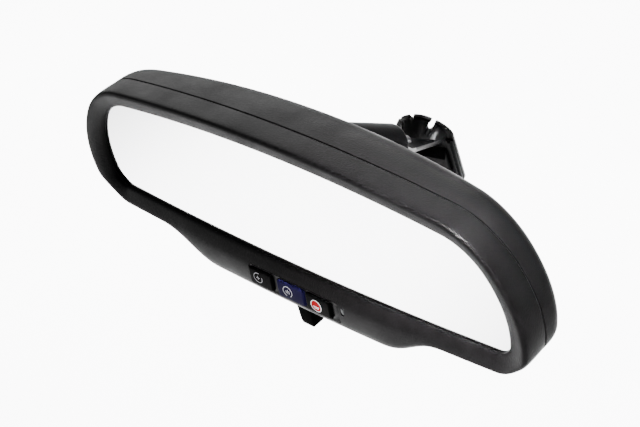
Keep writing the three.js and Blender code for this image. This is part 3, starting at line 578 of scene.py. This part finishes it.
def marks(keys):
    """Plain printed marks: a ring with a cross, a ring with three bars, a red disc with two bars."""
    fine, bold, disc = 0.24, 0.38, 2.95

    def mark(side, kind, lines, width, lift=PRINT_LIFT):
        print_ribbon(f"icon_{side}_{kind}", keys[side], lines, width, f"{side}_button", "print_white", lift)

    x, z = -22.2, -41.5
    mark("left", "ring", [arc(x, z, 2.55, 70, 380)], fine)
    mark("left", "bars", [straight(x - 1.1, z, x + 1.1, z), straight(x, z - 1.1, x, z + 1.1)], fine)
    x, z = -3.8, -41.6
    mark("centre", "ring", [arc(x, z, 2.65, -60, 250)], fine)
    mark("centre", "bars", [straight(x + shift, z - 1.0, x + shift, z + top)
                            for shift, top in ((-0.9, 0.4), (0, 1.1), (0.9, 0.7))], fine)
    x, z = 13.4, -42.1
    over = 0.08
    print_disc("icon_right_disc", keys["right"], x, z, disc, "right_button", "print_red", 0.04)
    mark("right", "ring", [arc(x, z, disc, 0, 360, 60)], 0.34, over)
    mark("right", "bars", [straight(x - half, z - low, x + half, z - low)
                           for half, low in ((1.7, 0.5), (1.3, 1.3))], bold, over)


def buttons():
    slots = {"left": "button_charcoal", "centre": "button_blue", "right": "button_black"}
    keys = {}
    for name, (centre, width) in BUTTONS.items():
        key = cap_face(f"key_{name}", centre, width, slots[name])
        smooth(key, 50)
        bpy.context.view_layer.update()
        keys[name] = key
    marks(keys)
    for name, key in keys.items():
        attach(key, f"{name}_button")
        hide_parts(f"button_{name}")


# ---------------------------------------------------------------- arm tube
def lathe(name, profile, centre, along, look):
    """A closed ring of revolution: its profile is (radius, height along the axis) in millimetres."""
    turn = Vector((0, 1, 0)).rotation_difference(along.normalized())
    rings = []
    for radius, height in profile:
        rings.append([centre + turn @ Vector((radius * math.sin(2 * math.pi * k / ROUND), height,
                                              radius * math.cos(2 * math.pi * k / ROUND))) * MM
                      for k in range(ROUND)])
    return ring_loft(name, rings, True, look)


def joint_anchor(name):
    return Vector(next(j for j in frame["joints"] if j["name"] == name)["pos_m"])


def arm_tube():
    ball, far = joint_anchor("mirror_turn"), joint_anchor("bracket_turn")
    length = (far - ball).length / MM
    socket, opening, bore, tube, roll = 9.6, math.radians(55), 6.5, 10.9, 2.8
    lip = socket * math.cos(opening)
    last = math.pi - math.asin(bore / socket)
    steps = 14

    def cup(centre, sign):
        return [(socket * math.sin(a), centre + sign * socket * math.cos(a))
                for a in (opening + (last - opening) * k / steps for k in range(steps + 1))]

    def end(centre, sign):
        return [(tube - roll * (1 - math.cos(a)), centre + sign * (lip - roll * (1 - math.sin(a))))
                for a in (k * math.pi / 2 / 10 for k in range(11))]

    profile = cup(0, -1) + list(reversed(cup(length, 1)))
    profile += list(reversed(end(length, 1))) + end(0, -1)
    obj = lathe("arm_sleeve", profile, ball, far - ball, "arm_black")
    smooth(obj, 35)
    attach(obj, "arm")
    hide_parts("arm_tube")


# ---------------------------------------------------------------- build
front_bezel()
rear_housing()
buttons()
arm_tube()
refined("button_bed", "button_frame", "head", "frame_black", 0.2)
refined("lamp_window", "led_lens", "head", "lamp_lens", 0.35, segments=3)
refined("finger_lever", "day_night_lever", "lever", "lever_black", 0.5, 40, 3)
refined("mount_foot", "windscreen_foot", "foot", "foot_black", 0.3, 34, 3)
refined("inlet_shell", "harness_connector", "head", "connector_black", 0.2)

# ---------------------------------------------------------------- floor, light and camera
FLOOR_Z, FLOOR_HALF = -0.75, 9
bm = bmesh.new()
bmesh.ops.create_grid(bm, x_segments=1, y_segments=1, size=FLOOR_HALF)
bmesh.ops.transform(bm, matrix=Matrix.Translation((0, 0, FLOOR_Z)), verts=bm.verts)
floor = new_object("floor", bm, "floor_paper")

world = bpy.data.worlds.new("studio")
world.use_nodes = True
world.node_tree.nodes["Background"].inputs["Color"].default_value = (1, 1, 1.01, 1)
world.node_tree.nodes["Background"].inputs["Strength"].default_value = 0.42
bpy.context.scene.world = world


def softbox(name, place, target, size, power, spread=180):
    light = bpy.data.lights.new(name, "AREA")
    light.shape = "RECTANGLE"
    light.size, light.size_y, light.energy = size[0], size[1], power
    light.spread = math.radians(spread)
    obj = bpy.data.objects.new(name, light)
    obj.location = place
    obj.rotation_euler = (Vector(target) - Vector(place)).to_track_quat("-Z", "Y").to_euler()
    bpy.context.scene.collection.objects.link(obj)


MIDDLE = (0, 0, 0)
softbox("floor_light", (-0.95, 0.68, -0.58), (-0.95, 0.68, -1), (2.0, 1.5), 90)
softbox("glass_light", (-0.79, -0.75, -0.59), (-0.79, -0.75, -1), (0.68, 0.66), 12.5)
softbox("left_light", (-1.9, 1.5, 1.75), MIDDLE, (2.6, 2.4), 145)
softbox("back_light", (-2.2, 2.1, 0.3), MIDDLE, (3.2, 1.2), 25)
softbox("card_light", (-1.65, -1.35, 0.05), MIDDLE, (1.2, 0.9), 24)
softbox("corner_light", (0.43, -0.55, 1.44), (0.12, -0.1, 0.03), (0.13, 0.13), 2, spread=5)
softbox("top_light", (0.5, 0.65, 1.7), MIDDLE, (0.8, 0.8), 75)
softbox("foot_light", (1.37, 0.5, 0.35), (-0.03, 0.03, 0.03), (0.16, 0.16), 1.1, spread=7)

CAMERA = (0.438046, -0.422110, 0.425588)
AZIMUTH, ELEVATION, ROLL = (math.radians(a) for a in (51.45, 36.71, -14.11))
ahead = Vector((-math.sin(AZIMUTH) * math.cos(ELEVATION), math.cos(AZIMUTH) * math.cos(ELEVATION),
                -math.sin(ELEVATION)))
flat_right = Vector((math.cos(AZIMUTH), math.sin(AZIMUTH), 0))
flat_up = flat_right.cross(ahead)
right = flat_right * math.cos(ROLL) + flat_up * math.sin(ROLL)
up = flat_up * math.cos(ROLL) - flat_right * math.sin(ROLL)
lens = bpy.data.cameras.new("camera")
lens.lens, lens.sensor_width, lens.clip_start, lens.clip_end = 90, 36, 0.05, 50
camera = bpy.data.objects.new("camera", lens)
camera.matrix_world = Matrix((
    (right.x, up.x, -ahead.x, CAMERA[0]),
    (right.y, up.y, -ahead.y, CAMERA[1]),
    (right.z, up.z, -ahead.z, CAMERA[2]),
    (0, 0, 0, 1),
))
bpy.context.scene.collection.objects.link(camera)
bpy.context.scene.camera = camera
